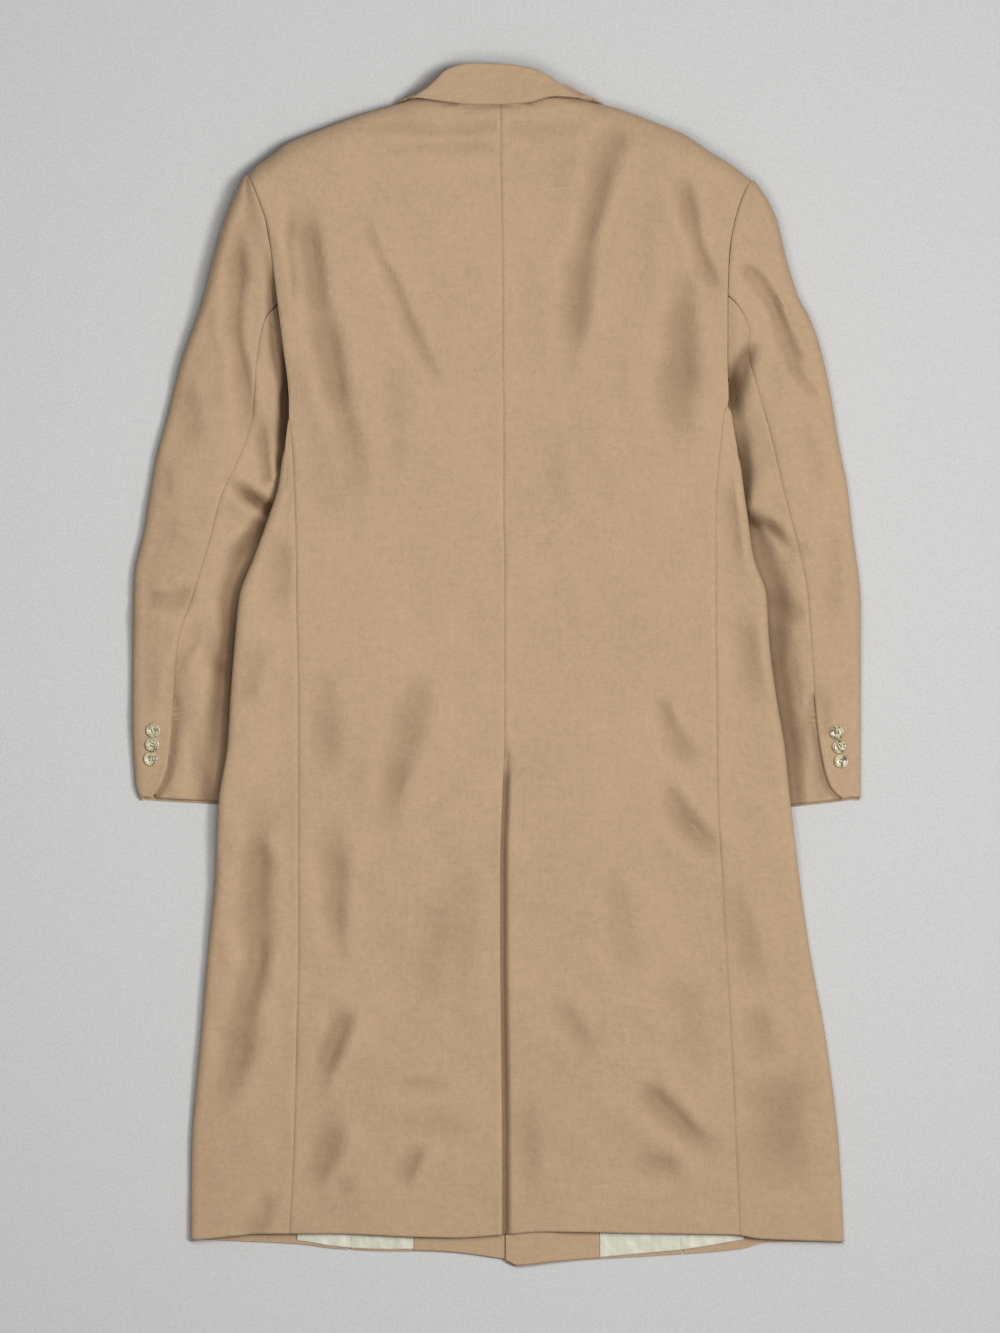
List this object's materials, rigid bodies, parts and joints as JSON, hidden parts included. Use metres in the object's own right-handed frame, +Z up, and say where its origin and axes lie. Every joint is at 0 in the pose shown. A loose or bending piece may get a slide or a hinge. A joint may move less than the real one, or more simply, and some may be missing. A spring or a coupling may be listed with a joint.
{
  "type": "wool overcoat",
  "caption": "Full-length wool overcoat with a tailored collar, two-piece sleeves and a back vent, laid out flat with its back up.",
  "frame": {"origin": "centre of the coat's footprint, on the surface that it lies on", "axes": "+Z up out of the coat's back, +Y along the back from the hem to the collar, +X towards the wearer's right"},
  "size_m": [0.742, 1.2238, 0.0412],
  "materials": {
    "camel_wool": "brushed wool with a short nap",
    "ivory_satin_lining": "satin",
    "horn_button": "polished mottled horn"
  },
  "bodies": {
    "root": {"back_left": "camel_wool", "back_right": "camel_wool", "side_left": "camel_wool", "side_right": "camel_wool", "front_left": "camel_wool", "front_right": "camel_wool", "lapel_left": "camel_wool", "lapel_right": "camel_wool", "top_sleeve_left": "camel_wool", "top_sleeve_right": "camel_wool", "under_sleeve_left": "camel_wool", "under_sleeve_right": "camel_wool", "collar": "camel_wool", "facing_left": "camel_wool", "facing_right": "camel_wool", "lining_left": "ivory_satin_lining", "lining_right": "ivory_satin_lining", "cuff_button_left_1": "horn_button", "cuff_button_left_2": "horn_button", "cuff_button_left_3": "horn_button", "cuff_button_right_1": "horn_button", "cuff_button_right_2": "horn_button", "cuff_button_right_3": "horn_button"}
  },
  "joints": []
}
